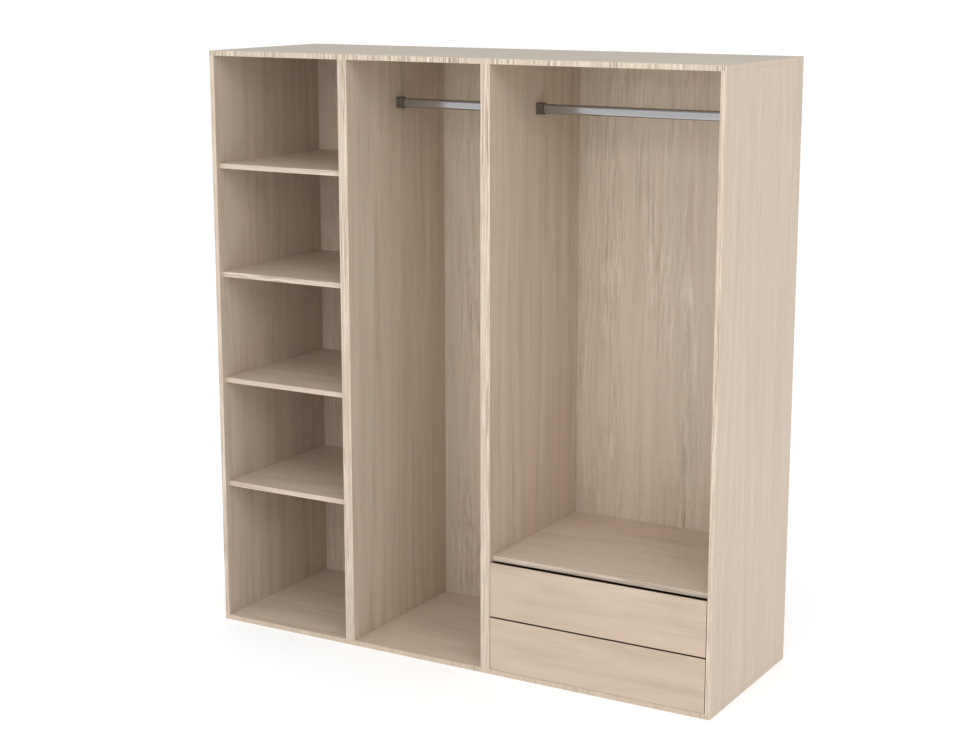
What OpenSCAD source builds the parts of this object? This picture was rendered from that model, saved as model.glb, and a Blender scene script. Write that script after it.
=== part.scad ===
// Open wardrobe of three board carcasses bolted side by side: a narrow one with four shelves,
// a narrow one and a wide one with a hanging rail each, and two drawers under a shelf in the wide one.
// Lengths are in millimetres. +Z is up, +X is to the right and the open front faces -Y.
// The origin is on the floor, at the middle of the footprint.

/* [Carcasses] */
// Overall height
height = 1875; // [1860:5:2250]
// Depth of the carcasses
depth = 580; // [575:5:640]
// Width of the left and the middle carcass
narrow_w = 500; // [400:10:600]
// Width of the right carcass
wide_w = 750; // [600:10:1000]
// Thickness of sides, tops, bottoms, shelves and drawer fronts
board = 16; // [16:0.5:17]
// Thickness of the back panels
back_t = 3; // [3:0.5:4]
// How far the back panels sit in from the rear edges
back_inset = 8; // [6:1:12]

/* [Shelves] */
// Height of the lowest shelf's top face
first_shelf_top = 474.5; // [440:0.5:480]
// Rise from one shelf to the next
shelf_pitch = 348.5; // [300:0.5:355]
// How far every shelf is set back from the front
shelf_setback = 17.5; // [17.5:0.5:22]
// Height of the underside of the shelf over the drawers
drawer_shelf_under = 360.5; // [360.5:0.5:390]

/* [Hanging rails] */
// Height of the rails' centre line
rail_z = 1713.5; // [1600:0.5:1730]
// Height of the oval rail tube
rail_h = 30; // [26:1:30]
// Depth of the oval rail tube
rail_d = 15; // [13:1:16]
// Wall of the rail tube
rail_wall = 1.2; // [1:0.1:1.5]
// How far a rail bracket stands out from the side
bracket_out = 25; // [20:1:32]

/* [Drawers] */
// Height of the lower drawer's front
lower_front_h = 167; // [165:0.5:168]
// Height of the upper drawer's front
upper_front_h = 172; // [170:0.5:172]
// Gap between the lower front and the carcass bottom
sill_gap = 0.5; // [0.5:0.1:1]
// Gap between the two fronts
front_gap = 4; // [3:0.5:4]
// Gap at each end of a front
end_gap = 1.5; // [1:0.5:3]
// Height of the drawer boxes
box_h = 136; // [120:1:136]
// Length of the drawer boxes behind the fronts
box_l = 510; // [505:1:530]
// Thickness of the drawer boxes' sides and rear panels
box_board = 12; // [12:0.5:13]
// Length of the runners
runner_l = 500; // [480:5:500]

/* [Hidden] */
$fn = 48;
LEFT = 0;
MIDDLE = 1;
RIGHT = 2;
LOWER = 0;
UPPER = 1;

oak = [0.84, 0.77, 0.69];
silver = [0.66, 0.67, 0.69];
umber = [0.31, 0.28, 0.24];
zinc = [0.72, 0.72, 0.70];
beech = [0.80, 0.66, 0.48];

widths = [narrow_w, narrow_w, wide_w];
total_w = 2 * narrow_w + wide_w;
outer_x = [-total_w / 2, -total_w / 2 + narrow_w, -total_w / 2 + 2 * narrow_w];
inner_x = [for (x = outer_x) x + board];
inner_w = [for (w = widths) w - 2 * board];
front_y = -depth / 2;
side_h = height - 2 * board;
cut = 1;             // how far a cutter runs past the face it opens
fit = 0.05;          // radial clearance of a pin, dowel or screw in its hole
cutout_play = 0.1;   // radial clearance of a cam or flange in its recess
hole_end_play = 0.5; // space left at the blind end of a hole

// Back panels and their grooves
back_y = front_y + depth - back_inset - back_t;
groove_depth = 6;
groove_play = 0.2;
back_end_play = 0.5; // space between a back panel's edge and its groove's floor

// Cam fittings and dowels that hold tops and bottoms to the sides
fitting_from_front = 60;
fitting_from_rear = 90;
dowel_pitch = 32;
fitting_y = [front_y + fitting_from_front, front_y + depth - fitting_from_rear];
dowel_y = [for (y = fitting_y) y + dowel_pitch];
cam_r = 7.4;
cam_len = 12;
cam_sunk = 0.5;      // how far a cam sits below the face
cam_drop = 34;       // cam centre to the end of the side
cam_mouth_r = 3.8;
cam_slot_l = 7;
cam_slot_w = 1.4;
cam_slot_depth = 2;
bolt_r = 2.9;
bolt_head_r = 3.4;
bolt_head_l = 3;
bolt_grip = 11;
end_hole_r = 4;
dowel_r = 3.95;
dowel_l = 30;
dowel_in_side = 20;
dowel_in_plate = dowel_l - dowel_in_side;
dowel_chamfer = 1;

// Sleeve and screw pairs that bolt neighbouring carcasses together
link_from_floor = 184;
link_from_top = 130;
link_z = [link_from_floor, height - link_from_top];
flange_r = 7.4;
flange_t = 1.4;
flange_sunk = 0.4;
sleeve_r = 4;
sleeve_bore_r = 2.6;
sleeve_l = 24;
sleeve_floor = 2;    // metal left behind the sleeve's flange
link_screw_r = 2.5;
link_screw_l = 22;
link_recess_depth = 0.9;

// Shelf supports
pin_r = 2.45;
pin_l = 9.5;
pin_from_shelf_front = 40;
pin_from_back = 60;
pin_y = [front_y + shelf_setback + pin_from_shelf_front, back_y - pin_from_back];
pin_plate_l = 12;
pin_plate_w = 10;
pin_plate_t = 2;
pin_drop = 6;        // shelf underside to the pin's axis
shelf_play = 0.5;    // gap at each end of a shelf and behind it

// Hanging rails
bracket_base = 4;
bracket_wall = 2.3;
bracket_over = 2.5;  // how far a bracket reaches above and below the rail
bracket_h = rail_h + 2 * bracket_over;
rail_play = 0.2;     // clearance between the rail and its cup
bracket_w = rail_d + 2 * (bracket_wall + rail_play);
bracket_corner = 3;
bracket_screw_z = [-8, 8];
rail_end_gap = 1;
slot_r = rail_d / 2 + rail_play;

// Chipboard screws of brackets and runners
screw_r = 1.6;
csk_head_r = 3.6;
csk_head_t = 2;
csk_sunk = 0.2;      // how far a countersunk head sits below the bracket's face
screw_play = 0.2;    // radial clearance of a screw in a bracket
web_play = 0.3;      // radial clearance of a screw in a runner's web
recess_w = 1;        // width of a screw's cross recess
csk_recess_l = 3.6;
csk_recess_depth = 0.9;
bracket_screw_l = 15;
pan_head_r = 3.3;
pan_head_t = 2;
pan_recess_l = 3.8;
pan_recess_depth = 1.1;
runner_screw_l = 12;

// Drawers, with LOWER first
front_h = [lower_front_h, upper_front_h];
front_z = [board + sill_gap, board + sill_gap + lower_front_h + front_gap];
front_w = inner_w[RIGHT] - 2 * end_gap;
lip = 2.5;           // thickness left at the top edge of a front
grip_h = 18;         // height of the finger bevel behind the top edge
runner_t = 13;       // space that a runner takes at each side
box_under_grip = 1;  // how far a drawer box stays below the bevel
box_z = [for (i = [LOWER, UPPER]) front_z[i] + front_h[i] - grip_h - box_under_grip - box_h];
box_y = front_y + board;
box_x = inner_x[RIGHT] + runner_t;
box_w = inner_w[RIGHT] - 2 * runner_t;
base_t = 3;
base_rise = 8;       // box underside to the base's groove
base_in = 5.5;       // how far the base reaches into a groove
base_play = 0.1;     // clearance above and below the base in its groove
box_dowel_r = 2.95;
box_dowel_from_edge = 30;
box_dowel_z = [box_dowel_from_edge, box_h - box_dowel_from_edge];
box_dowel_l = 30;
box_dowel_in_front = 10;
box_dowel_in_side = 8;

// Ball bearing runners. x runs from the carcass side to the drawer side.
runner_behind_front = 2;
runner_y = box_y + runner_behind_front;
sheet = 1.2;
thin_sheet = 1;
outer_half_h = 22.5;
outer_reach = 10.5;
outer_lip = 1.7;
middle_x = [2.4, 10];
middle_web_x = 5.2;
middle_half_h = 16.2;
inner_half_h = 10;
inner_reach = 5.8;
ball_r = 2.3;
ball_sunk = 0.1;     // how deep a ball sits in the middle member's race
ball_pitch = 44;
balls = 6;
outer_ball_x = 5.7;
inner_ball_x = 8.8;
cage_w = 4;
cage_t = 0.6;
cage_end = 12;
runner_screw_y = [35, 227, 451];
drawer_screw_y = [70, 250, 430];

// ---- Places ----

// A corner joint. Its origin is at the end of a side, at the middle of the board's thickness;
// +Z runs into the top or the bottom and +X points into the carcass.
module at_joints(c, sides, ends, ys) {
    for (s = sides, e = ends, y = ys)
        translate([outer_x[c] + board / 2 + s * (widths[c] - board), y, e == 1 ? height - board : board])
            rotate([e == 1 ? 0 : 180, 0, s == 0 ? 0 : 180])
                children();
}

// A link between carcass p and the next one, with its origin on the plane where they meet
module at_links(pairs) {
    for (p = pairs, y = fitting_y, z = link_z)
        translate([outer_x[p + 1], y, z])
            rotate([0, 90, 0])
                children();
}

// The inner face of side s of carcass c, with +X pointing into the carcass
module at_side(c, s, y, z) {
    translate([inner_x[c] + s * inner_w[c], y, z])
        rotate([0, 0, s == 0 ? 0 : 180])
            children();
}

// Where a shelf of carcass c with its underside at z meets its four supports
module at_pins(c, sides, z) {
    for (s = sides, y = pin_y)
        at_side(c, s, y, z)
            children();
}

// ---- Boards ----

function shelf_under(i) = first_shelf_top - board + (i - 1) * shelf_pitch;

// Pilot hole that runs from an inner face into the side
module pilot(depth_in) {
    translate([cut, 0, 0])
        rotate([0, -90, 0])
            cylinder(r = screw_r + fit, h = depth_in + cut);
}

module pin_hole() {
    translate([cut, 0, -pin_drop])
        rotate([0, -90, 0])
            cylinder(r = pin_r + fit, h = pin_l + hole_end_play + cut);
}

module link_hole() {
    cylinder(r = sleeve_r + fit, h = 2 * board + 2 * cut, center = true);
    for (end = [-1, 1])
        translate([0, 0, end * (board + cut - (flange_t + flange_sunk + cut) / 2)])
            cylinder(r = flange_r + cutout_play, h = flange_t + flange_sunk + cut, center = true);
}

module side_fitting_hole() {
    translate([board / 2 - cam_len - cam_sunk, 0, -cam_drop])
        rotate([0, 90, 0])
            cylinder(r = cam_r + cutout_play, h = cam_len + cam_sunk + cut);
    translate([0, 0, -cam_drop])
        cylinder(r = end_hole_r, h = cam_drop + cut);
}

// Side s of carcass c; 0 is its left side and 1 its right side
module carcass_side(c, s) {
    color(oak)
    difference() {
        translate([outer_x[c] + s * (widths[c] - board), front_y, board])
            cube([board, depth, side_h]);
        translate([inner_x[c] + s * inner_w[c] - groove_depth, back_y - groove_play, board - cut])
            cube([2 * groove_depth, back_t + 2 * groove_play, side_h + 2 * cut]);
        at_joints(c, [s], [0, 1], fitting_y)
            side_fitting_hole();
        at_joints(c, [s], [0, 1], dowel_y)
            translate([0, 0, -dowel_in_side - hole_end_play])
                cylinder(r = end_hole_r, h = dowel_l);
        if (c == LEFT)
            for (i = [1 : 4])
                at_pins(c, [s], shelf_under(i)) pin_hole();
        if (c == RIGHT) {
            at_pins(c, [s], drawer_shelf_under) pin_hole();
            for (d = [LOWER, UPPER], y = runner_screw_y)
                at_side(c, s, runner_y + y, runner_z(d)) pilot(runner_screw_l);
        }
        if (c != LEFT)
            for (z = bracket_screw_z)
                at_side(c, s, 0, rail_z + z) pilot(bracket_screw_l);
        if (s == 1 && c != RIGHT) at_links([c]) link_hole();
        if (s == 0 && c != LEFT) at_links([c - 1]) link_hole();
    }
}

// Top (e = 1) or bottom (e = 0) of carcass c, which covers the ends of both sides
module carcass_plate(c, e) {
    face_z = e == 1 ? height - board : board;
    color(oak)
    difference() {
        translate([outer_x[c], front_y, e * (height - board)])
            cube([widths[c], depth, board]);
        translate([inner_x[c] - groove_depth, back_y - groove_play, face_z - groove_depth])
            cube([inner_w[c] + 2 * groove_depth, back_t + 2 * groove_play, 2 * groove_depth]);
        at_joints(c, [0, 1], [e], fitting_y)
            translate([0, 0, -cut])
                cylinder(r = bolt_r + fit, h = bolt_grip + hole_end_play + cut);
        at_joints(c, [0, 1], [e], dowel_y)
            translate([0, 0, -cut])
                cylinder(r = end_hole_r, h = dowel_in_plate + hole_end_play + cut);
    }
}

module carcass_back(c) {
    reach = groove_depth - back_end_play;
    color(oak)
    translate([inner_x[c] - reach, back_y, board - reach])
        cube([inner_w[c] + 2 * reach, back_t, side_h + 2 * reach]);
}

module shelf(c, under) {
    color(oak)
    translate([inner_x[c] + shelf_play, front_y + shelf_setback, under])
        cube([inner_w[c] - 2 * shelf_play, back_y - shelf_play - front_y - shelf_setback, board]);
}

module left_carcass_left_side() carcass_side(LEFT, 0);
module left_carcass_right_side() carcass_side(LEFT, 1);
module left_carcass_top() carcass_plate(LEFT, 1);
module left_carcass_bottom() carcass_plate(LEFT, 0);
module left_carcass_back() carcass_back(LEFT);
module middle_carcass_left_side() carcass_side(MIDDLE, 0);
module middle_carcass_right_side() carcass_side(MIDDLE, 1);
module middle_carcass_top() carcass_plate(MIDDLE, 1);
module middle_carcass_bottom() carcass_plate(MIDDLE, 0);
module middle_carcass_back() carcass_back(MIDDLE);
module right_carcass_left_side() carcass_side(RIGHT, 0);
module right_carcass_right_side() carcass_side(RIGHT, 1);
module right_carcass_top() carcass_plate(RIGHT, 1);
module right_carcass_bottom() carcass_plate(RIGHT, 0);
module right_carcass_back() carcass_back(RIGHT);
module shelf_1() shelf(LEFT, shelf_under(1));
module shelf_2() shelf(LEFT, shelf_under(2));
module shelf_3() shelf(LEFT, shelf_under(3));
module shelf_4() shelf(LEFT, shelf_under(4));
module drawer_shelf() shelf(RIGHT, drawer_shelf_under);

// ---- Fittings of the carcasses ----

// Support with a pin in the side and a plate under the shelf
module shelf_pin() {
    translate([0, 0, -pin_drop])
        rotate([0, -90, 0])
            cylinder(r = pin_r, h = pin_l);
    translate([0, -pin_plate_w / 2, -pin_plate_w])
        cube([pin_plate_t, pin_plate_w, pin_plate_w]);
    translate([0, -pin_plate_w / 2, -pin_plate_t])
        cube([pin_plate_l, pin_plate_w, pin_plate_t]);
}

module shelf_pins() {
    color(zinc) {
        for (i = [1 : 4])
            at_pins(LEFT, [0, 1], shelf_under(i)) shelf_pin();
        at_pins(RIGHT, [0, 1], drawer_shelf_under) shelf_pin();
    }
}

// Turning cam with a mouth for the bolt's head and a cross slot for the driver
module cam() {
    difference() {
        translate([board / 2 - cam_sunk - cam_len, 0, -cam_drop])
            rotate([0, 90, 0])
                cylinder(r = cam_r, h = cam_len);
        translate([0, 0, -cam_drop - bolt_head_l])
            cylinder(r = cam_mouth_r, h = cam_drop);
        for (turn = [45, 135])
            translate([board / 2 - cam_sunk, 0, -cam_drop])
                rotate([turn, 0, 0])
                    cube([2 * cam_slot_depth, cam_slot_w, cam_slot_l], center = true);
    }
}

module cams() {
    color(zinc)
        for (c = [LEFT, MIDDLE, RIGHT])
            at_joints(c, [0, 1], [0, 1], fitting_y) cam();
}

// Bolt that is screwed into the top or bottom, with the head that the cam pulls on
module cam_bolt() {
    translate([0, 0, -cam_drop])
        cylinder(r = bolt_r, h = cam_drop + bolt_grip);
    translate([0, 0, -cam_drop - bolt_head_l / 2])
        cylinder(r = bolt_head_r, h = bolt_head_l);
}

module cam_bolts() {
    color(zinc)
        for (c = [LEFT, MIDDLE, RIGHT])
            at_joints(c, [0, 1], [0, 1], fitting_y) cam_bolt();
}

module dowel(r, l) {
    cylinder(r1 = r - dowel_chamfer, r2 = r, h = dowel_chamfer);
    translate([0, 0, dowel_chamfer])
        cylinder(r = r, h = l - 2 * dowel_chamfer);
    translate([0, 0, l - dowel_chamfer])
        cylinder(r1 = r, r2 = r - dowel_chamfer, h = dowel_chamfer);
}

module dowels() {
    color(beech)
        for (c = [LEFT, MIDDLE, RIGHT])
            at_joints(c, [0, 1], [0, 1], dowel_y)
                translate([0, 0, -dowel_in_side])
                    dowel(dowel_r, dowel_l);
}

module link_sleeves() {
    color(zinc)
    at_links([LEFT, MIDDLE])
        difference() {
            union() {
                translate([0, 0, board - flange_sunk - flange_t])
                    cylinder(r = flange_r, h = flange_t);
                translate([0, 0, board - flange_sunk - sleeve_l])
                    cylinder(r = sleeve_r, h = sleeve_l);
            }
            translate([0, 0, board - flange_sunk - sleeve_l - cut])
                cylinder(r = sleeve_bore_r, h = sleeve_l - sleeve_floor);
        }
}

module link_screws() {
    color(zinc)
    at_links([LEFT, MIDDLE])
        translate([0, 0, -board + flange_sunk])
            difference() {
                union() {
                    cylinder(r = flange_r, h = flange_t);
                    cylinder(r = link_screw_r, h = link_screw_l);
                }
                for (turn = [0, 90])
                    rotate([0, 0, turn])
                        cube([cam_slot_l, cam_slot_w, 2 * link_recess_depth], center = true);
            }
}

// ---- Hanging rails ----

// Oval that stands upright in the YZ plane, h high and d deep
module oval(h, d) {
    square([d, h - d], center = true);
    for (end = [-1, 1])
        translate([0, end * (h - d) / 2])
            circle(d = d);
}

// Turns a flat outline in X and Y into one in Y and Z, and extrudes it along X
module along_x(length) {
    rotate([90, 0, 90])
        linear_extrude(height = length)
            children();
}

module rail(c) {
    reach = bracket_base + rail_end_gap;
    color(silver)
    translate([inner_x[c] + reach, 0, rail_z])
        along_x(inner_w[c] - 2 * reach)
            difference() {
                oval(rail_h, rail_d);
                oval(rail_h - 2 * rail_wall, rail_d - 2 * rail_wall);
            }
}

// Block with rounded corners, w deep and h high
module rounded_block(w, h, r) {
    square([w - 2 * r, h], center = true);
    square([w, h - 2 * r], center = true);
    for (sy = [-1, 1], sz = [-1, 1])
        translate([sy * (w / 2 - r), sz * (h / 2 - r)])
            circle(r = r);
}

// Cup that is screwed to the side; the rail drops in from above
module rail_bracket(c, s) {
    seat = -(rail_h - rail_d) / 2 + slot_r - rail_d / 2 - fit;
    color(umber)
    at_side(c, s, 0, rail_z)
        difference() {
            along_x(bracket_out)
                rounded_block(bracket_w, bracket_h, bracket_corner);
            translate([bracket_base, 0, 0])
                along_x(bracket_out) {
                    translate([0, seat])
                        circle(r = slot_r);
                    translate([-slot_r, seat])
                        square([2 * slot_r, bracket_h]);
                }
            for (z = bracket_screw_z)
                translate([0, 0, z])
                    rotate([0, 90, 0]) {
                        translate([0, 0, -cut])
                            cylinder(r = screw_r + screw_play, h = bracket_base + 2 * cut);
                        translate([0, 0, bracket_base - csk_head_t - csk_sunk])
                            cylinder(r1 = screw_r + screw_play, r2 = csk_head_r + screw_play,
                                     h = csk_head_t + csk_sunk);
                    }
        }
}

module middle_rail() rail(MIDDLE);
module middle_rail_bracket_left() rail_bracket(MIDDLE, 0);
module middle_rail_bracket_right() rail_bracket(MIDDLE, 1);
module right_rail() rail(RIGHT);
module right_rail_bracket_left() rail_bracket(RIGHT, 0);
module right_rail_bracket_right() rail_bracket(RIGHT, 1);

// Countersunk screw; its head's flat is at the origin and its shank runs towards -X
module countersunk_screw() {
    difference() {
        rotate([0, -90, 0]) {
            cylinder(r1 = csk_head_r, r2 = screw_r, h = csk_head_t);
            cylinder(r = screw_r, h = bracket_screw_l);
        }
        for (turn = [0, 90])
            rotate([turn, 0, 0])
                cube([2 * csk_recess_depth, recess_w, csk_recess_l], center = true);
    }
}

module bracket_screws() {
    color(zinc)
        for (c = [MIDDLE, RIGHT], s = [0, 1], z = bracket_screw_z)
            at_side(c, s, 0, rail_z + z)
                translate([bracket_base - csk_sunk, 0, 0])
                    countersunk_screw();
}

// ---- Drawers ----

function runner_z(d) = box_z[d] + box_h / 2;

// Front with a bevel behind its top edge, where the fingers take hold, and a groove for the base
module drawer_front(d) {
    color(oak)
    difference() {
        translate([inner_x[RIGHT] + end_gap, front_y, front_z[d]])
            along_x(front_w)
                polygon([
                    [0, 0],
                    [board, 0],
                    [board, front_h[d] - grip_h],
                    [lip, front_h[d]],
                    [0, front_h[d]]
                ]);
        translate([box_x + box_board - groove_depth, box_y - groove_depth, box_z[d] + base_rise - base_play])
            cube([box_w - 2 * box_board + 2 * groove_depth, 2 * groove_depth, base_t + 2 * base_play]);
        at_box_corners(d, [0, 1], true)
            translate([0, 0, -box_dowel_in_front - hole_end_play])
                cylinder(r = box_dowel_r + fit, h = box_dowel_l);
    }
}

// The drawer box's dowels. In front, +Z runs from the front into the side's end;
// at the rear, it runs from the side into the rear panel's end.
module at_box_corners(d, sides, front) {
    for (s = sides, z = box_dowel_z)
        if (front)
            translate([box_x + box_board / 2 + s * (box_w - box_board), box_y, box_z[d] + z])
                rotate([-90, 0, 0])
                    children();
        else
            translate([box_x + box_board + s * (box_w - 2 * box_board), box_y + box_l - box_board / 2,
                       box_z[d] + z])
                rotate([0, s == 0 ? 90 : -90, 0])
                    children();
}

module drawer_side(d, s) {
    color(oak)
    difference() {
        translate([box_x + s * (box_w - box_board), box_y, box_z[d]])
            cube([box_board, box_l, box_h]);
        translate([box_x + box_board + s * (box_w - 2 * box_board) - groove_depth, box_y - cut,
                   box_z[d] + base_rise - base_play])
            cube([2 * groove_depth, box_l + 2 * cut, base_t + 2 * base_play]);
        at_box_corners(d, [s], true)
            translate([0, 0, -cut])
                cylinder(r = box_dowel_r + fit, h = box_dowel_l - box_dowel_in_front + hole_end_play + cut);
        at_box_corners(d, [s], false)
            translate([0, 0, -box_dowel_in_side - hole_end_play])
                cylinder(r = box_dowel_r + fit, h = box_dowel_l);
        for (y = drawer_screw_y)
            at_drawer_side(s, runner_y + y, runner_z(d)) pilot(runner_screw_l - sheet);
    }
}

// The outer face of side s of a drawer box, with +X pointing at the carcass side
module at_drawer_side(s, y, z) {
    translate([box_x + s * box_w, y, z])
        rotate([0, 0, s == 0 ? 180 : 0])
            children();
}

// Rear panel, which stands on the base
module drawer_rear(d) {
    under = base_rise + base_t + base_play;
    color(oak)
    difference() {
        translate([box_x + box_board, box_y + box_l - box_board, box_z[d] + under])
            cube([box_w - 2 * box_board, box_board, box_h - under]);
        at_box_corners(d, [0, 1], false)
            translate([0, 0, -cut])
                cylinder(r = box_dowel_r + fit, h = box_dowel_l - box_dowel_in_side + hole_end_play + cut);
    }
}

module drawer_base(d) {
    color(oak)
    translate([box_x + box_board - base_in, box_y - base_in, box_z[d] + base_rise])
        cube([box_w - 2 * box_board + 2 * base_in, box_l + base_in, base_t]);
}

module drawer_dowels(d) {
    color(beech) {
        at_box_corners(d, [0, 1], true)
            translate([0, 0, -box_dowel_in_front])
                dowel(box_dowel_r, box_dowel_l);
        at_box_corners(d, [0, 1], false)
            translate([0, 0, -box_dowel_in_side])
                dowel(box_dowel_r, box_dowel_l);
    }
}

module lower_drawer_front() drawer_front(LOWER);
module lower_drawer_left_side() drawer_side(LOWER, 0);
module lower_drawer_right_side() drawer_side(LOWER, 1);
module lower_drawer_rear() drawer_rear(LOWER);
module lower_drawer_base() drawer_base(LOWER);
module lower_drawer_dowels() drawer_dowels(LOWER);
module upper_drawer_front() drawer_front(UPPER);
module upper_drawer_left_side() drawer_side(UPPER, 0);
module upper_drawer_right_side() drawer_side(UPPER, 1);
module upper_drawer_rear() drawer_rear(UPPER);
module upper_drawer_base() drawer_base(UPPER);
module upper_drawer_dowels() drawer_dowels(UPPER);

// ---- Runners ----

// The runner of drawer d on side s. x starts at the carcass side and z at the runner's centre line.
module at_runner(d, s) {
    translate([inner_x[RIGHT] + s * inner_w[RIGHT], runner_y + s * runner_l, runner_z(d)])
        rotate([0, 0, s == 0 ? 0 : 180])
            children();
}

// A bar of the runner's section from corner [x0, z0] to [x1, z1], and its mirror image below
module runner_bars(x0, x1, z0, z1) {
    for (up = [0, 1])
        translate([x0, 0, up == 1 ? z0 : -z1])
            cube([x1 - x0, runner_l, z1 - z0]);
}

// A clearance hole for a screw in the web, at each place in ys measured from the runner's front end
module web_holes(s, ys, x) {
    for (y = ys)
        translate([x, s == 0 ? y : runner_l - y, 0])
            rotate([0, 90, 0])
                cylinder(r = screw_r + web_play, h = 3 * sheet, center = true);
}

module carcass_runner(d, s) {
    color(zinc)
    at_runner(d, s)
        difference() {
            union() {
                translate([0, 0, -outer_half_h])
                    cube([sheet, runner_l, 2 * outer_half_h]);
                runner_bars(0, outer_reach, outer_half_h - sheet, outer_half_h);
                runner_bars(outer_reach - sheet, outer_reach, outer_half_h - sheet - outer_lip, outer_half_h);
            }
            web_holes(s, runner_screw_y, 0);
        }
}

// A row of balls and the strip that keeps them apart, both above and below the web
module ball_rows(x, z, first_y) {
    for (up = [-1, 1]) {
        for (i = [0 : balls - 1])
            translate([x, first_y + i * ball_pitch, up * z])
                sphere(r = ball_r);
        translate([x - cage_w / 2, first_y - cage_end, up * z - cage_t / 2])
            cube([cage_w, (balls - 1) * ball_pitch + 2 * cage_end, cage_t]);
    }
}

// Channel that rides between the carcass member and the drawer member. Its outer balls sit
// towards its rear end and its inner balls towards its front end, where the members overlap when open.
module middle_runner(d, s) {
    span = (balls - 1) * ball_pitch;
    near_y = s == 0 ? cage_end : runner_l - cage_end - span;
    far_y = runner_l - span - near_y;
    color(zinc)
    at_runner(d, s) {
        translate([middle_web_x, 0, -middle_half_h])
            cube([thin_sheet, runner_l, 2 * middle_half_h]);
        runner_bars(middle_x[0], middle_x[1], middle_half_h - thin_sheet, middle_half_h);
        ball_rows(outer_ball_x, middle_half_h + ball_r - ball_sunk, far_y);
        ball_rows(inner_ball_x, middle_half_h - thin_sheet - ball_r + ball_sunk, near_y);
    }
}

module drawer_runner(d, s) {
    color(zinc)
    at_runner(d, s)
        difference() {
            union() {
                translate([runner_t - sheet, 0, -inner_half_h])
                    cube([sheet, runner_l, 2 * inner_half_h]);
                runner_bars(runner_t - inner_reach, runner_t, inner_half_h - thin_sheet, inner_half_h);
            }
            web_holes(s, drawer_screw_y, runner_t);
        }
}

module lower_carcass_runner_left() carcass_runner(LOWER, 0);
module lower_carcass_runner_right() carcass_runner(LOWER, 1);
module upper_carcass_runner_left() carcass_runner(UPPER, 0);
module upper_carcass_runner_right() carcass_runner(UPPER, 1);
module lower_middle_runner_left() middle_runner(LOWER, 0);
module lower_middle_runner_right() middle_runner(LOWER, 1);
module upper_middle_runner_left() middle_runner(UPPER, 0);
module upper_middle_runner_right() middle_runner(UPPER, 1);
module lower_drawer_runner_left() drawer_runner(LOWER, 0);
module lower_drawer_runner_right() drawer_runner(LOWER, 1);
module upper_drawer_runner_left() drawer_runner(UPPER, 0);
module upper_drawer_runner_right() drawer_runner(UPPER, 1);

// Pan head screw whose head sits on a runner's web; its shank runs towards -X
module pan_screw() {
    difference() {
        union() {
            rotate([0, 90, 0])
                cylinder(r = pan_head_r, h = pan_head_t);
            rotate([0, -90, 0])
                cylinder(r = screw_r, h = runner_screw_l);
        }
        for (turn = [0, 90])
            translate([pan_head_t, 0, 0])
                rotate([turn, 0, 0])
                    cube([2 * pan_recess_depth, recess_w, pan_recess_l], center = true);
    }
}

module runner_screws() {
    color(zinc)
        for (d = [LOWER, UPPER], s = [0, 1], y = runner_screw_y)
            at_side(RIGHT, s, runner_y + y, runner_z(d))
                translate([sheet, 0, 0])
                    pan_screw();
}

module drawer_screws(d) {
    color(zinc)
        for (s = [0, 1], y = drawer_screw_y)
            at_drawer_side(s, runner_y + y, runner_z(d))
                translate([sheet, 0, 0])
                    pan_screw();
}

module lower_drawer_screws() drawer_screws(LOWER);
module upper_drawer_screws() drawer_screws(UPPER);

left_carcass_left_side();
left_carcass_right_side();
left_carcass_top();
left_carcass_bottom();
left_carcass_back();
middle_carcass_left_side();
middle_carcass_right_side();
middle_carcass_top();
middle_carcass_bottom();
middle_carcass_back();
right_carcass_left_side();
right_carcass_right_side();
right_carcass_top();
right_carcass_bottom();
right_carcass_back();
shelf_1();
shelf_2();
shelf_3();
shelf_4();
drawer_shelf();
middle_rail();
middle_rail_bracket_left();
middle_rail_bracket_right();
right_rail();
right_rail_bracket_left();
right_rail_bracket_right();
shelf_pins();
cams();
cam_bolts();
dowels();
link_sleeves();
link_screws();
bracket_screws();
runner_screws();
lower_carcass_runner_left();
lower_carcass_runner_right();
upper_carcass_runner_left();
upper_carcass_runner_right();
lower_middle_runner_left();
lower_middle_runner_right();
upper_middle_runner_left();
upper_middle_runner_right();
lower_drawer_front();
lower_drawer_left_side();
lower_drawer_right_side();
lower_drawer_rear();
lower_drawer_base();
lower_drawer_dowels();
lower_drawer_runner_left();
lower_drawer_runner_right();
lower_drawer_screws();
upper_drawer_front();
upper_drawer_left_side();
upper_drawer_right_side();
upper_drawer_rear();
upper_drawer_base();
upper_drawer_dowels();
upper_drawer_runner_left();
upper_drawer_runner_right();
upper_drawer_screws();
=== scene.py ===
"""The looks of an open wardrobe in pale oak foil.

Boards with eased arrises and grain along each board, cover caps over the fittings, satin rails in
moulded brackets, zinc runners, then the floor, the light and the camera. Lengths are in metres.
"""

import math
import random
from collections import namedtuple

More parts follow.
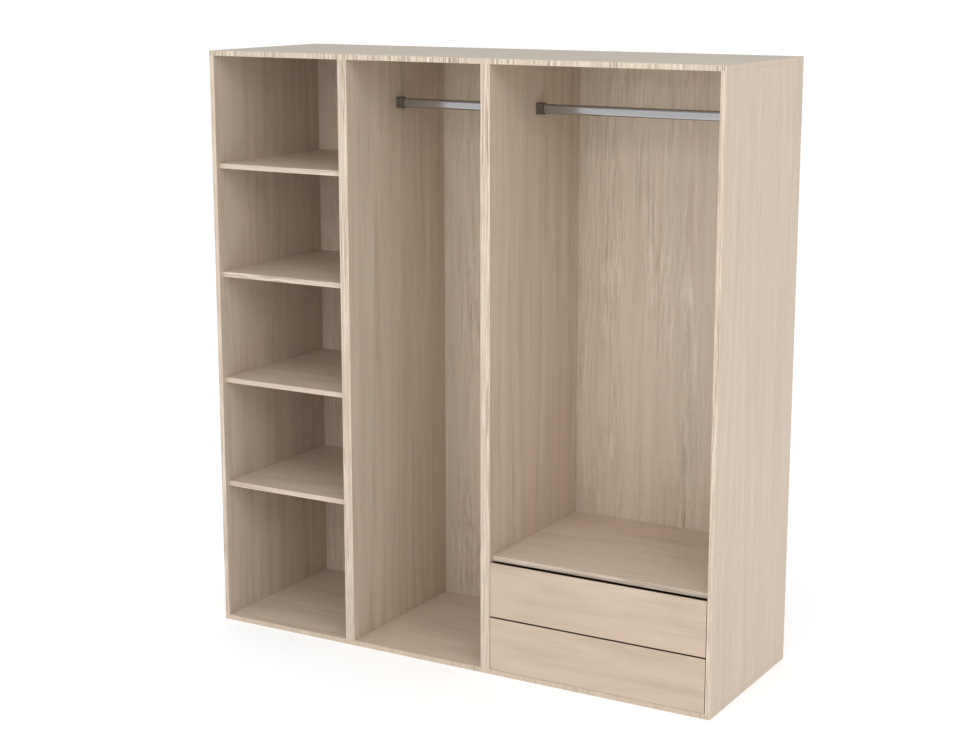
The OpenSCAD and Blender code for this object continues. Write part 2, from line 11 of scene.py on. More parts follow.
import bmesh
import bpy
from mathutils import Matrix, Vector


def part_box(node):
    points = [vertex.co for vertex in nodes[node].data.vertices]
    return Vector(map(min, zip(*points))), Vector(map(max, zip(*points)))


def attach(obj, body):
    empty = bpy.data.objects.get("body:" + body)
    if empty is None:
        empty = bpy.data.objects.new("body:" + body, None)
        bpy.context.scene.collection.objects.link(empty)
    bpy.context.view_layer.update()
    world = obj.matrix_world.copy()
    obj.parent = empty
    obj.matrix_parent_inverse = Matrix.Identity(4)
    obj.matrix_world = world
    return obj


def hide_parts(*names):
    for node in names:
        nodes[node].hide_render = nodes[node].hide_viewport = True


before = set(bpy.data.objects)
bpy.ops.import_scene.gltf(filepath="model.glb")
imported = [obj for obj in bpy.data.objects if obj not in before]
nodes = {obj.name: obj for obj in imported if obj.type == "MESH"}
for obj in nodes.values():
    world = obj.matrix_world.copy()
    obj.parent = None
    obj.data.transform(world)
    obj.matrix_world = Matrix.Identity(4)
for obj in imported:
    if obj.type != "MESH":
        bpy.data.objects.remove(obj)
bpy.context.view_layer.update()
scene = bpy.context.scene

X, Y, Z = range(3)
CARCASSES = ("left", "middle", "right")
DRAWERS = ("lower", "upper")
BOARD_SLOT = "oak_board"
HARDBOARD_SLOT = "oak_hardboard"

ARRIS = 0.0006              # width of the easing along a board's outer edges
ARRIS_STEPS = 2             # flat steps that round it
ARRIS_TURN = (0.90, 0.999)  # how far the normal of such a step lies along its main axis
ARRIS_TO_FRONT = 0.1        # and how far it turns to the front where the arris gets a painted highlight, a paler copy of the edge band
WELD = 1e-5                 # vertices closer than this are one
ON_FACE = 2e-5              # a vertex this close to the board's box lies on it
FLAT_ANGLE = math.radians(0.5)  # faces that turn less than this from each other are one
GRAIN_LAYER = "grain"
FOIL_ROLL = 40.0            # each run of grain is cut from somewhere in this much foil


# ---- Node helpers ----

SWING = 4.0     # noise seldom leaves the middle half of its range, which this makes -1 to 1


def set_stops(ramp, stops):
    """Puts (position, colour) stops on a colour ramp, which starts with one at each end."""
    marks = ramp.elements
    for mark, (position, colour) in ((marks[0], stops[0]), (marks[1], stops[-1])):
        mark.position, mark.color = position, (*colour, 1.0)
    for position, colour in stops[1:-1]:
        marks.new(position).color = (*colour, 1.0)


class Finish:
    """A material and short ways to add nodes to it and join them."""

    def __init__(self, name):
        self.material = bpy.data.materials.new(name)
        self.material.use_nodes = True
        self.tree = self.material.node_tree
        self.surface = self.tree.nodes["Principled BSDF"]

    def put(self, kind, sockets=None, output=0, **settings):
        """Adds a node, feeds its sockets and returns one of its outputs."""
        node = self.tree.nodes.new("ShaderNode" + kind)
        for name, value in settings.items():
            setattr(node, name, value)
        for name, value in (sockets or {}).items():
            self.feed(node.inputs[name], value)
        return node.outputs[output]

    def feed(self, socket, value):
        if isinstance(value, bpy.types.NodeSocket):
            self.tree.links.new(value, socket)
        else:
            socket.default_value = value

    def math(self, operation, a, b=0.0, c=0.0):
        return self.put("Math", {0: a, 1: b, 2: c}, operation=operation)

    def blend(self, first, first_share, second, second_share):
        return self.math("MULTIPLY_ADD", first, first_share,
                         self.math("MULTIPLY", second, second_share))

    def object_place(self):
        """The point on the piece, measured from the piece's origin."""
        return self.put("TexCoord", output="Object")

    def stretched(self, place, stretch, detail=2.0, roughness=0.5):
        """Noise with so many cells per metre along each axis, as a value around 0.5."""
        vector = self.put("VectorMath", {0: place, 1: stretch}, operation="MULTIPLY")
        return self.put("TexNoise", {"Vector": vector, "Scale": 1.0, "Detail": detail,
                                     "Roughness": roughness})

    def speckle(self, place, per_metre, detail=2.0, roughness=0.5):
        """The same noise with cells that are as long as they are wide."""
        return self.stretched(place, (per_metre,) * 3, detail, roughness)

    def centred(self, noise, reach):
        """Noise from 0 to 1 made a value around 0, with this much between its ends."""
        return self.math("MULTIPLY_ADD", noise, reach, -0.5 * reach)

    def swing(self, noise, amount):
        """Noise around 0.5 made a value around 0 that swings by about the amount."""
        return self.centred(noise, SWING * amount)

    def ramp(self, value, stops):
        """Colours along a value from 0 to 1."""
        output = self.put("ValToRGB", {"Fac": value})
        set_stops(output.node.color_ramp, stops)
        return output

    def remap(self, value, low, high, new_low=0.0, new_high=1.0):
        """A value between low and high moved to the range from new_low to new_high."""
        return self.put("MapRange", {"Value": value, "From Min": low, "From Max": high,
                                     "To Min": new_low, "To Max": new_high})

    def spread(self, value, low, high):
        """A value from 0 to 1 moved to the range from low to high."""
        return self.remap(value, 0.0, 1.0, low, high)

    def dents(self, height, depth, strength):
        self.feed(self.surface.inputs["Normal"],
                  self.put("Bump", {"Height": height, "Distance": depth, "Strength": strength}))

    def base(self, **values):
        for name, value in values.items():
            self.feed(self.surface.inputs[name.replace("_", " ")], value)


# ---- Oak foil ----

def shade(colour, tint):
    return tuple(part * level for part, level in zip(colour, tint))


# The foil's colours along its grain level, from a dark pore to a pale streak
OAK_STOPS = (
    (0.00, (0.270, 0.200, 0.140)),
    (0.28, (0.425, 0.342, 0.257)),
    (0.60, (0.580, 0.487, 0.385)),
    (1.00, (0.735, 0.640, 0.525)),
)
PINK_OAK = (0.610, 0.475, 0.385)
CALM_LEVEL = 0.60       # the grain level of calm wood

# Cells per metre of each part of the pattern, along the grain and across it
WANDER = (1.1, 3.2, 1.0)
WAVER = (8.0, 26.0, 1.0)
WIDE_BANDS = (1.2, 28.0, 1.0)
BUNCHES = (1.6, 12.0, 1.0)
RING_SWELL = (0.55, 4.2, 1.0)
PORES = (24.0, 620.0, 1.0)
CLOUDS = (3.5, 14.0, 1.0)
PINK_PATCHES = (0.5, 11.0, 1.0)

# Streaks: cells per metre along the grain, cells to a streak's width, detail and roughness
LONG_STREAKS = (3.8, 0.55, 3.0, 0.65)
SHORT_STREAKS = (9.0, 1.25, 2.0, 0.60)

# The part of a noise's range that is used, and what it becomes where that is not 0 to 1
BUNCH_SPAN = (0.38, 0.64, 0.25, 1.60)
PORE_SPAN = (0.55, 0.70)
PINK_SPAN = (0.40, 0.66)

WANDER_REACH = 0.044    # the slow bends carry the grain within this much, in metres
LONG_SHARE, SHORT_SHARE = 0.55, 0.45
STREAK_SWING = 1.6
RINGS = 26.0            # growth rings from the low end of the swell to its high end
PORE_DENT = -0.8        # how far a pore lies below the streaks in the foil's relief


def oak_foil(name, bands, streaks, pores, arches=0.0, blotches=0.0, drift=0.25, tint=(1, 1, 1),
             streak_width=0.0052, waver=0.0064, gloss=0.42):
    """Bleached oak printed on foil: u runs along the grain and v across it, in metres."""
    foil = Finish(name)
    place = foil.put("UVMap", uv_map=GRAIN_LAYER)

    # The grain wanders a centimetre over a board, and wavers by millimetres along a hand's length
    slow = foil.centred(foil.stretched(place, WANDER), WANDER_REACH)
    quick = foil.centred(foil.stretched(place, WAVER), waver)
    shift = foil.put("CombineXYZ", {"Y": foil.math("ADD", slow, quick)})
    place = foil.put("VectorMath", {0: place, 1: shift}, operation="ADD")

    def streaky(along, to_a_streak, detail, roughness):
        return foil.stretched(place, (along, to_a_streak / streak_width, 1.0), detail, roughness)

    wide = foil.swing(foil.stretched(place, WIDE_BANDS, detail=3.0, roughness=0.6), bands)
    long_noise, short_noise = streaky(*LONG_STREAKS), streaky(*SHORT_STREAKS)
    streak = foil.swing(foil.blend(long_noise, LONG_SHARE, short_noise, SHORT_SHARE),
                        STREAK_SWING * streaks)
    # Streaks bunch together and leave calmer wood between them
    bunch = foil.remap(foil.stretched(place, BUNCHES), *BUNCH_SPAN)
    streak = foil.math("MULTIPLY", streak, bunch)

    # Growth rings close in long arches
    swell = foil.stretched(place, RING_SWELL, detail=1.0)
    ring = foil.math("SINE", foil.math("MULTIPLY", swell, 2.0 * math.pi * RINGS))
    ring = foil.math("MULTIPLY", foil.math("MULTIPLY", ring, bunch), 0.5 * arches)

    pore = foil.remap(foil.stretched(place, PORES, detail=1.0), *PORE_SPAN)
    pits = foil.math("MULTIPLY", foil.math("MULTIPLY", pore, bunch), -pores)

    clouds = foil.swing(foil.stretched(place, CLOUDS), blotches)

    level = foil.math("ADD", foil.math("ADD", wide, streak), foil.math("ADD", ring, pits))
    level = foil.math("ADD", foil.math("ADD", level, clouds), CALM_LEVEL)
    colour = foil.ramp(level, [(mark, shade(stop, tint)) for mark, stop in OAK_STOPS])
    pinker = foil.remap(foil.stretched(place, PINK_PATCHES), *PINK_SPAN, 0.0, 2.0 * drift)
    colour = foil.put("MixRGB", {"Fac": pinker, "Color1": colour,
                                 "Color2": (*shade(PINK_OAK, tint), 1.0)})

    foil.base(Base_Color=colour, Roughness=foil.spread(short_noise, gloss - 0.05, gloss + 0.07))
    relief = foil.math("ADD", short_noise, foil.math("MULTIPLY", pore, PORE_DENT))
    foil.dents(relief, depth=0.00008, strength=0.5)
    return foil.material


def raw_hardboard(name):
    """The brown pressed face of hardboard that looks away from the room."""
    board = Finish(name)
    place = board.object_place()
    felt = board.speckle(place, 520.0, detail=3.0, roughness=0.75)
    fibre = board.stretched(place, (70.0, 70.0, 240.0), detail=3.0, roughness=0.7)
    patch = board.speckle(place, 5.0, detail=3.0)
    level = board.blend(felt, 0.75, fibre, 0.60)
    level = board.math("MULTIPLY_ADD", patch, 0.18, board.math("ADD", level, -0.27))
    board.base(Base_Color=board.ramp(level, ((0.10, (0.225, 0.145, 0.085)),
                                             (0.50, (0.345, 0.240, 0.150)),
                                             (0.90, (0.480, 0.360, 0.240)))),
               Roughness=board.spread(felt, 0.62, 0.85))
    board.dents(felt, depth=0.0001, strength=0.6)
    return board.material


def sealed_edge(name):
    """Dark brown with a chip speckle: painted shade on the drawer fronts' edges and arrises, for
    the gaps around the fronts.
    """
    edge = Finish(name)
    place = edge.object_place()
    chip = edge.speckle(place, 420.0, detail=3.0, roughness=0.7)
    edge.base(Base_Color=edge.ramp(chip, ((0.25, (0.095, 0.060, 0.034)),
                                          (0.75, (0.195, 0.130, 0.080)))),
              Roughness=edge.spread(chip, 0.50, 0.72))
    edge.dents(chip, depth=0.00012, strength=0.6)
    return edge.material


def oak_foils():
    return {
        "side": oak_foil("oak_foil_on_sides", bands=0.22, streaks=0.09, pores=0.10, drift=0.20,
                         streak_width=0.0062, waver=0.009),
        "outer": oak_foil("oak_foil_on_outer_sides", bands=0.11, streaks=0.13, pores=0.12,
                          drift=0.22, waver=0.012, tint=(1.045, 1.02, 0.985)),
        "plate": oak_foil("oak_foil_on_tops_and_bottoms", bands=0.09, streaks=0.14, pores=0.13,
                          arches=0.04, blotches=0.10, waver=0.012),
        # Painted shade: the upward top faces get a darker, cooler copy of the foil, for the weaker
        # light from above
        "upper": oak_foil("oak_foil_on_top_faces_with_painted_shade", bands=0.10, streaks=0.14, pores=0.12,
                          tint=(0.905, 0.945, 0.965), waver=0.010),
        "back": oak_foil("oak_foil_on_backs", bands=0.14, streaks=0.21, pores=0.19, arches=0.08,
                         drift=0.14, streak_width=0.0047, waver=0.014),
        "shelf": oak_foil("oak_foil_on_shelves", bands=0.09, streaks=0.13, pores=0.12,
                          blotches=0.10, waver=0.012),
        "front": oak_foil("oak_foil_on_drawer_fronts", bands=0.06, streaks=0.07, pores=0.06,
                          blotches=0.17, drift=0.16, tint=(0.90, 0.855, 0.815), waver=0.016),
        "edge": oak_foil("oak_edge_band", bands=0.14, streaks=0.60, pores=0.12, drift=0.18,
                         streak_width=0.0032, tint=(0.99, 0.98, 0.97)),
        "strip": oak_foil("oak_edge_band_across", bands=0.14, streaks=0.80, pores=0.10,
                          drift=0.16, streak_width=0.0046, tint=(0.97, 0.975, 0.965)),
        "low strip": oak_foil("oak_edge_band_at_the_floor", bands=0.10, streaks=0.24, pores=0.08,
                              drift=0.12, streak_width=0.0042, tint=(0.94, 0.91, 0.87)),
        # Painted shade: dark brown on the drawer fronts' edges, for the gaps between and around
        # the fronts
        "painted gap": sealed_edge("brown_painted_gap_shade"),
        # Painted highlight: a brighter, paler copy of the edge band on the arrises that turn to
        # the front
        "arris": oak_foil("oak_edge_band_arris_with_painted_highlight", bands=0.08, streaks=0.08, pores=0.0,
                          tint=(1.18, 1.18, 1.18), gloss=0.36),
        "raw": raw_hardboard("raw_hardboard"),
    }


# ---- Boards ----

# The axis of a board's grain, the axis through its thickness, the finish of its faces, the axis of
# the grain on its edges where that differs, and its material slot
Kind = namedtuple("Kind", "grain thickness finish edge_grain slot")
KINDS = {
    "side": Kind(Z, X, "side", None, BOARD_SLOT),
    "plate": Kind(X, Z, "plate", Z, BOARD_SLOT),
    "back": Kind(Z, Y, "back", None, HARDBOARD_SLOT),
    "shelf": Kind(X, Z, "shelf", None, BOARD_SLOT),
    "front": Kind(X, Y, "front", None, BOARD_SLOT),
    "box side": Kind(Y, X, "shelf", None, BOARD_SLOT),
    "box rear": Kind(X, Y, "shelf", None, BOARD_SLOT),
    "box base": Kind(X, Z, "shelf", None, HARDBOARD_SLOT),
}


def board_list():
    """(node, kind of board, body) for every board."""
    boards = []
    for carcass in CARCASSES:
        for part, kind in (("left_side", "side"), ("right_side", "side"), ("top", "plate"),
                           ("bottom", "plate"), ("back", "back")):
            boards.append((f"{carcass}_carcass_{part}", kind, "carcass"))
    boards += [(f"shelf_{i}", "shelf", "carcass") for i in range(1, 5)]
    boards.append(("drawer_shelf", "shelf", "carcass"))
    for drawer in DRAWERS:
        for part, kind in (("front", "front"), ("left_side", "box side"),
                           ("right_side", "box side"), ("rear", "box rear"),
                           ("base", "box base")):
            boards.append((f"{drawer}_drawer_{part}", kind, f"{drawer}_drawer"))
    return boards


def ease_arrises(mesh, low, high):
    """Rounds the edges that lie along the board's own box, and leaves every other edge sharp."""
    def along_box(edge):
        touched = sum(
            all(abs(vertex.co[axis] - side[axis]) < ON_FACE for vertex in edge.verts)
            for axis in (X, Y, Z) for side in (low, high))
        return touched == 2     # an edge of a box is where two of its sides meet

    bmesh.ops.bevel(mesh, geom=[edge for edge in mesh.edges if along_box(edge)], offset=ARRIS,
                    offset_type="OFFSET", segments=ARRIS_STEPS, profile=0.5, affect="EDGES",
                    clamp_overlap=True)


def grain_axes(kind, normal_axis):
    """The axes along and across the grain on a face that looks along the normal axis."""
    along = KINDS[kind].grain
    if normal_axis != KINDS[kind].thickness and KINDS[kind].edge_grain is not None:
        along = KINDS[kind].edge_grain
    if along == normal_axis:
        along = KINDS[kind].thickness
    return along, X + Y + Z - normal_axis - along


def finish_of(kind, board, axis, looks, normal):
    """The finish of a face of a board. The axis is the main one of the face's normal, and looks
    is 1 or -1, the way the face looks along it."""
    on_edge = axis != KINDS[kind].thickness
    arris_low, arris_high = ARRIS_TURN
    # Drawer fronts: every edge and every eased arris takes the dark brown painted gap shade
    if kind == "front" and (on_edge or abs(normal[axis]) < arris_high):
        return "painted gap"
    if on_edge:
        # Arrises that turn to the front take the brighter copy: a painted highlight
        if arris_low < abs(normal[axis]) < arris_high and normal.y < -ARRIS_TO_FRONT:
            return "arris"
        if kind == "plate":
            if axis == X:
                return "outer"
            return "low strip" if board.endswith("bottom") else "strip"
        return "edge"
    if (kind, looks) in (("back", 1), ("box base", -1)):
        return "raw"
    if kind == "side" and looks == (-1 if board.endswith("left_side") else 1):
        return "outer"
    # On the top faces of the tops this takes the darker, cooler copy of the foil: painted shade
    return "upper" if board.endswith("top") and looks > 0 else KINDS[kind].finish


def grain_run(kind, board, axis, looks):
    """A name for all the faces that share one run of grain: a board's face, a plate's end with
    the side board it meets, or the edges of every board of a kind."""
    if axis == KINDS[kind].thickness:
        return board, axis, looks
    if kind == "plate" and axis == X:
        carcass = board.rsplit("_", 1)[0]
        return f"{carcass}_{'left' if looks < 0 else 'right'}_side", axis, looks
    return kind, axis, looks


def lay_grain(mesh, kind, board_at):
    """Gives each face its finish and its place in the grain of the board it is on. Returns the
    finishes in the order that the faces count them."""
    finishes = []
    layer = mesh.loops.layers.uv.new(GRAIN_LAYER)
    starts = {}
    for face in mesh.faces:
        face.smooth = False
        normal = face.normal
        axis = max((X, Y, Z), key=lambda i: abs(normal[i]))
        looks = 1 if normal[axis] > 0 else -1
        along, across = grain_axes(kind, axis)
        run = grain_run(kind, board_at(face), axis, looks)
        if run not in starts:
            draw = random.Random(str(run))
            starts[run] = (draw.uniform(0, FOIL_ROLL), draw.uniform(0, FOIL_ROLL))
        start = starts[run]
        for loop in face.loops:
            loop[layer].uv = (loop.vert.co[along] + start[0], loop.vert.co[across] + start[1])
        finish = finish_of(kind, board_at(face), axis, looks, normal)
        if finish not in finishes:
            finishes.append(finish)
        face.material_index = finishes.index(finish)
    return finishes


def welded(node):
    """The mesh of a CAD node with its triangles joined."""
    mesh = bmesh.new()
    mesh.from_mesh(nodes[node].data)
    bmesh.ops.remove_doubles(mesh, verts=mesh.verts, dist=WELD)
    return mesh


def make_board(node, kind, body, foils):
    """A board from its CAD solid, with eased arrises and laid grain."""
    mesh = welded(node)
    bmesh.ops.dissolve_limit(mesh, angle_limit=FLAT_ANGLE, verts=mesh.verts, edges=mesh.edges)
    ease_arrises(mesh, *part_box(node))
    mesh.normal_update()
    finishes = lay_grain(mesh, kind, lambda face: node)
    bmesh.ops.triangulate(mesh, faces=[face for face in mesh.faces if len(face.verts) > 4])
    data = bpy.data.meshes.new(node + "_board")
    mesh.to_mesh(data)
    mesh.free()
    for finish in finishes:
        data.materials.append(foils[finish])
    board = bpy.data.objects.new(node + "_board", data)
    scene.collection.objects.link(board)
    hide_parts(node)
    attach(board, body)


# ---- Cover caps ----

CAP_SIZES = {"Radius": 0.009, "Chamfer": 0.0003, "Thickness": 0.0003}
CAP_CORNERS = 32
# For each node under caps, how many boards one of its solids reaches
CAPPED_NODES = {"cams": 1, "link_sleeves": 2}


def solid_middles(node):
    """The middle of each separate solid of a CAD node."""
    mesh = welded(node)
    left = set(mesh.verts)
    middles = []
    while left:
        reached = {left.pop()}
        to_visit = list(reached)
        while to_visit:
            vertex = to_visit.pop()
            for edge in vertex.link_edges:
                other = edge.other_vert(vertex)
                if other in left:
                    left.remove(other)
                    reached.add(other)
                    to_visit.append(other)
        spans = [[vertex.co[axis] for vertex in reached] for axis in (X, Y, Z)]
        middles.append(Vector([(min(span) + max(span)) / 2 for span in spans]))
    mesh.free()
    return sorted(middles, key=tuple)


def inner_faces():
    """(side board, its outer x, its inner x) for the six side boards."""
    faces = []
    for carcass in CARCASSES:
        for side in ("left", "right"):
            board = f"{carcass}_carcass_{side}_side"
            low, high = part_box(board)
            faces.append((board, low.x, high.x) if side == "left" else (board, high.x, low.x))
    return faces


def cap_places(sides):
    """(point on an inner face, direction it faces) for every cam and every link end."""
    places = []
    for node, boards_reached in CAPPED_NODES.items():
        for middle in solid_middles(node):
            near = sorted(sides, key=lambda side: abs((side[1] + side[2]) / 2 - middle.x))
            for _, outer, inner in near[:boards_reached]:
                places.append(((inner, middle.y, middle.z), 1 if inner > outer else -1))
    return places


def cap_tree():
    """Geometry Nodes: a shallow cap on every point, facing the way the point says."""
    tree = bpy.data.node_groups.new("cover caps", "GeometryNodeTree")
    sockets = tree.interface
    sockets.new_socket("Points", in_out="INPUT", socket_type="NodeSocketGeometry")
    for name, value in CAP_SIZES.items():
        socket = sockets.new_socket(name, in_out="INPUT", socket_type="NodeSocketFloat")
        socket.default_value = value
    sockets.new_socket("Finish", in_out="INPUT", socket_type="NodeSocketMaterial")
    sockets.new_socket("Caps", in_out="OUTPUT", socket_type="NodeSocketGeometry")

    def put(kind, **settings):
        node = tree.nodes.new(kind)
        for name, value in settings.items():
            setattr(node, name, value)
        return node

    start, end = put("NodeGroupInput"), put("NodeGroupOutput")
    top_radius = put("ShaderNodeMath", operation="SUBTRACT")
    cap = put("GeometryNodeMeshCone")
    cap.inputs["Vertices"].default_value = CAP_CORNERS
    facing = put("GeometryNodeInputNamedAttribute", data_type="FLOAT_VECTOR")
    facing.inputs["Name"].default_value = "facing"
    turn = put("FunctionNodeAlignRotationToVector", axis="Z")
    spread = put("GeometryNodeInstanceOnPoints")
    solid = put("GeometryNodeRealizeInstances")
    finish = put("GeometryNodeSetMaterial")
    for source, target in (
        (start.outputs["Radius"], top_radius.inputs[0]),
        (start.outputs["Chamfer"], top_radius.inputs[1]),
        (top_radius.outputs[0], cap.inputs["Radius Top"]),
        (start.outputs["Radius"], cap.inputs["Radius Bottom"]),
        (start.outputs["Thickness"], cap.inputs["Depth"]),
        (facing.outputs["Attribute"], turn.inputs["Vector"]),
        (start.outputs["Points"], spread.inputs["Points"]),
        (cap.outputs["Mesh"], spread.inputs["Instance"]),
        (turn.outputs["Rotation"], spread.inputs["Rotation"]),
        (spread.outputs["Instances"], solid.inputs["Geometry"]),
        (solid.outputs["Geometry"], finish.inputs["Geometry"]),
        (start.outputs["Finish"], finish.inputs["Material"]),
        (finish.outputs["Geometry"], end.inputs["Caps"]),
    ):
        tree.links.new(source, target)
    return tree


def cover_caps(foils):
    """Foil-coloured stick-on caps over the cams and the link ends."""
    sides = inner_faces()
    places = cap_places(sides)
    points = bpy.data.meshes.new("cap points")
    points.from_pydata([place for place, _ in places], [], [])
    facing = points.attributes.new("facing", "FLOAT_VECTOR", "POINT")
    facing.data.foreach_set("vector", [part for _, way in places for part in (way, 0.0, 0.0)])
    holder = bpy.data.objects.new("cap points", points)
    scene.collection.objects.link(holder)
    modifier = holder.modifiers.new("caps", "NODES")
    modifier.node_group = cap_tree()
    wanted = {**CAP_SIZES, "Finish": foils["side"]}
    for item in modifier.node_group.interface.items_tree:
        if item.name in wanted:
            modifier[item.identifier] = wanted[item.name]
    evaluated = holder.evaluated_get(bpy.context.evaluated_depsgraph_get())
    data = bpy.data.meshes.new_from_object(evaluated)
    bpy.data.objects.remove(holder)
    mesh = bmesh.new()
    mesh.from_mesh(data)
    lay_grain(mesh, "side", lambda face: min(
        sides, key=lambda side: abs(side[2] - face.calc_center_median().x))[0])
    for face in mesh.faces:
        face.material_index = 0     # every face of a cap has the same finish
    mesh.to_mesh(data)
    mesh.free()
    data.materials.clear()
    data.materials.append(foils["side"])
    data.name = "cover_caps"
    caps = bpy.data.objects.new("cover_caps", data)
    scene.collection.objects.link(caps)
    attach(caps, "carcass")


# ---- Metal, plastic and beech ----

def satin_rail():
    """Drawn tube with a satin silver skin: fine lines along X."""
    rail = Finish("satin_silver_tube")
    place = rail.object_place()
    lines = rail.stretched(place, (3.0, 1900.0, 1900.0))
    haze = rail.stretched(place, (5.0, 40.0, 40.0))
    rail.base(Base_Color=rail.ramp(lines, ((0.3, (0.350, 0.351, 0.355)),
                                           (0.7, (0.450, 0.451, 0.455)))),
              Metallic=1.0, Roughness=rail.spread(haze, 0.10, 0.18))
    rail.dents(lines, depth=0.00003, strength=0.4)
    return rail.material


def moulded_umber():
    """Matte moulded plastic with a fine spark texture."""
    plastic = Finish("umber_moulded_plastic")
    place = plastic.object_place()
    grit = plastic.speckle(place, 2600.0)
    flow = plastic.stretched(place, (60.0, 60.0, 140.0))
    plastic.base(Base_Color=plastic.ramp(flow, ((0.3, (0.068, 0.055, 0.040)),
                                                (0.7, (0.108, 0.088, 0.066)))),
                 Roughness=plastic.spread(grit, 0.42, 0.66))
    plastic.dents(grit, depth=0.00005, strength=0.5)
    return plastic.material


def bright_zinc():
    """Zinc plated fittings, faintly clouded."""
    zinc = Finish("bright_zinc_plating")
    place = zinc.object_place()
    cloud = zinc.speckle(place, 260.0, detail=3.0)
    zinc.base(Base_Color=zinc.ramp(cloud, ((0.3, (0.50, 0.50, 0.48)), (0.7, (0.70, 0.70, 0.68)))),
              Metallic=1.0, Roughness=zinc.spread(cloud, 0.24, 0.46))
    zinc.dents(cloud, depth=0.00004, strength=0.4)
    return zinc.material


def rolled_zinc():
    """Galvanised rolled steel: small spangles under fine lines along Y."""
    steel = Finish("rolled_zinc_steel")
    place = steel.object_place()
    spangle = steel.put("TexVoronoi", {"Vector": place, "Scale": 150.0}, output="Color")
    spangle_grey = steel.put("RGBToBW", {"Color": spangle})
    lines = steel.stretched(place, (1500.0, 6.0, 1500.0))
    level = steel.blend(spangle_grey, 0.5, lines, 0.5)
    steel.base(Base_Color=steel.ramp(level, ((0.2, (0.47, 0.48, 0.49)),
                                             (0.8, (0.66, 0.67, 0.68)))),
               Metallic=1.0, Roughness=steel.spread(level, 0.28, 0.48))
    steel.dents(lines, depth=0.00003, strength=0.4)
    return steel.material


def turned_beech():
    """Beech with short dark flecks along Z."""
    beech = Finish("turned_beech")
    place = beech.object_place()
    fleck = beech.stretched(place, (1400.0, 1400.0, 190.0))
    ring = beech.stretched(place, (300.0, 300.0, 12.0))
    level = beech.blend(fleck, 0.55, ring, 0.45)
    beech.base(Base_Color=beech.ramp(level, ((0.30, (0.42, 0.245, 0.120)),
                                             (0.52, (0.60, 0.400, 0.225)),
                                             (0.75, (0.72, 0.520, 0.320)))),
               Roughness=beech.spread(fleck, 0.50, 0.68))
    beech.dents(fleck, depth=0.00008, strength=0.5)
    return beech.material


# The first of these words that is in a node's name gives its slot
SLOT_WORDS = (("rail_bracket", "bracket_plastic"), ("_rail", "rail_metal"),
              ("runner_screws", "fitting_zinc"), ("runner", "runner_zinc"),
              ("dowels", "beech_dowel"))


def dress_fittings():
    """Gives the CAD nodes that stay their finishes, by their material slots."""
    finishes = {
        "rail_metal": satin_rail(),
        "bracket_plastic": moulded_umber(),
        "fitting_zinc": bright_zinc(),
        "runner_zinc": rolled_zinc(),
        "beech_dowel": turned_beech(),
    }
    for name, node in nodes.items():
        if node.hide_render:
            continue
        slot = next((slot for word, slot in SLOT_WORDS if word in name), "fitting_zinc")
        node.data.materials.clear()
        node.data.materials.append(finishes[slot])


# ---- Floor, light and camera ----

FLOOR_REACH = 160.0
FLOOR_CORNERS = 64
FLOOR_DROP = 0.0006     # the floor lies this far below the bottoms
FLOOR_GLOW = 0.42

# Grey levels of the room from the horizon, at 0, to straight overhead, at 1
ROOM_STOPS = ((0.0, 0.70), (0.035, 0.70), (0.06, 0.10), (0.75, 0.84), (1.0, 0.60))
ROOM_STRENGTH = 1.40
BACKDROP = 0.72         # the grey level that comes out white at that strength

# For each soft box: its name, its place and its power; both are squares that aim at one point
SOFT_BOXES = (("front light", (0.05, -5.9, 3.0), 92.0),
              ("right front light", (4.7, -4.0, 4.6), 98.0))
SOFT_BOX_SIDE = 3.0
SOFT_BOX_AIM = (0.0, 0.0, 0.8)

CAMERA_PLACE = (2.8915, -5.0818, 2.1496)
CAMERA_TILT, CAMERA_TURN = math.radians(78.0), math.radians(30.0)
LENS, SENSOR_WIDTH = 70.46, 36.0    # in millimetres
CLIP_END = 500.0


def grey(level):
    return (level, level, level)


def pale_floor():
    """A wide pale floor that glows a little, as a lit sweep does."""
    data = bpy.data.meshes.new("floor")
    turns = [2 * math.pi * i / FLOOR_CORNERS for i in range(FLOOR_CORNERS)]
    ring = [(FLOOR_REACH * math.cos(turn), FLOOR_REACH * math.sin(turn), -FLOOR_DROP)
            for turn in turns]
    data.from_pydata(ring, [], [tuple(range(FLOOR_CORNERS))])
    floor = bpy.data.objects.new("floor", data)
    scene.collection.objects.link(floor)
    paint = Finish("pale_floor")
    place = paint.object_place()
    mottle = paint.speckle(place, 2.0)
    paint.base(Base_Color=paint.ramp(mottle, ((0.0, grey(0.64)), (1.0, grey(0.68)))),
               Roughness=0.8, Emission_Color=(*grey(1.0), 1.0), Emission_Strength=FLOOR_GLOW)
    data.materials.append(paint.material)


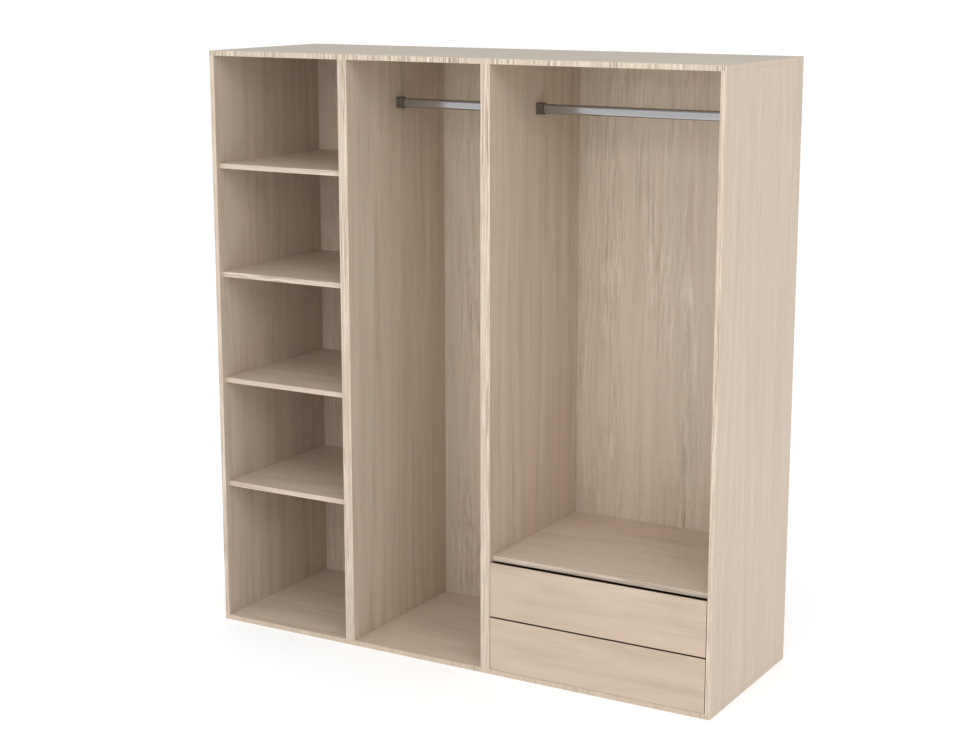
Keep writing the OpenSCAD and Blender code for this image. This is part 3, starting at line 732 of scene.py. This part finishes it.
def soft_world():
    """A white room: a bright ceiling, dimmer walls and a pale line where they meet the floor.
    Seen directly it is plain white, so that no wall shows behind the wardrobe."""
    world = bpy.data.worlds.new("white room")
    scene.world = world
    world.use_nodes = True
    tree = world.node_tree
    way = tree.nodes.new("ShaderNodeTexCoord")
    split = tree.nodes.new("ShaderNodeSeparateXYZ")
    room = tree.nodes.new("ShaderNodeValToRGB")
    set_stops(room.color_ramp, [(height, grey(level)) for height, level in ROOM_STOPS])
    background = tree.nodes["Background"]
    background.inputs["Strength"].default_value = ROOM_STRENGTH
    backdrop = tree.nodes.new("ShaderNodeMixRGB")
    backdrop.inputs["Color2"].default_value = (*grey(BACKDROP), 1.0)
    path = tree.nodes.new("ShaderNodeLightPath")
    tree.links.new(way.outputs["Generated"], split.inputs[0])
    tree.links.new(split.outputs["Z"], room.inputs["Fac"])
    tree.links.new(path.outputs["Is Camera Ray"], backdrop.inputs["Fac"])
    tree.links.new(room.outputs["Color"], backdrop.inputs["Color1"])
    tree.links.new(backdrop.outputs["Color"], background.inputs["Color"])


def soft_boxes():
    for name, place, power in SOFT_BOXES:
        light = bpy.data.lights.new(name, "AREA")
        light.shape = "RECTANGLE"
        light.size = light.size_y = SOFT_BOX_SIDE
        light.energy = power
        lamp = bpy.data.objects.new(name, light)
        lamp.location = place
        aim = Vector(SOFT_BOX_AIM) - Vector(place)
        lamp.rotation_euler = aim.to_track_quat("-Z", "Y").to_euler()
        scene.collection.objects.link(lamp)


def camera():
    data = bpy.data.cameras.new("camera")
    data.sensor_width = SENSOR_WIDTH
    data.lens = LENS
    data.clip_end = CLIP_END
    view = bpy.data.objects.new("camera", data)
    view.location = CAMERA_PLACE
    view.rotation_euler = (CAMERA_TILT, 0.0, CAMERA_TURN)
    scene.collection.objects.link(view)
    scene.camera = view


camera()
foils = oak_foils()
for node, kind, body in board_list():
    make_board(node, kind, body, foils)
cover_caps(foils)
dress_fittings()
pale_floor()
soft_world()
soft_boxes()
scene.view_settings.view_transform = "Standard"
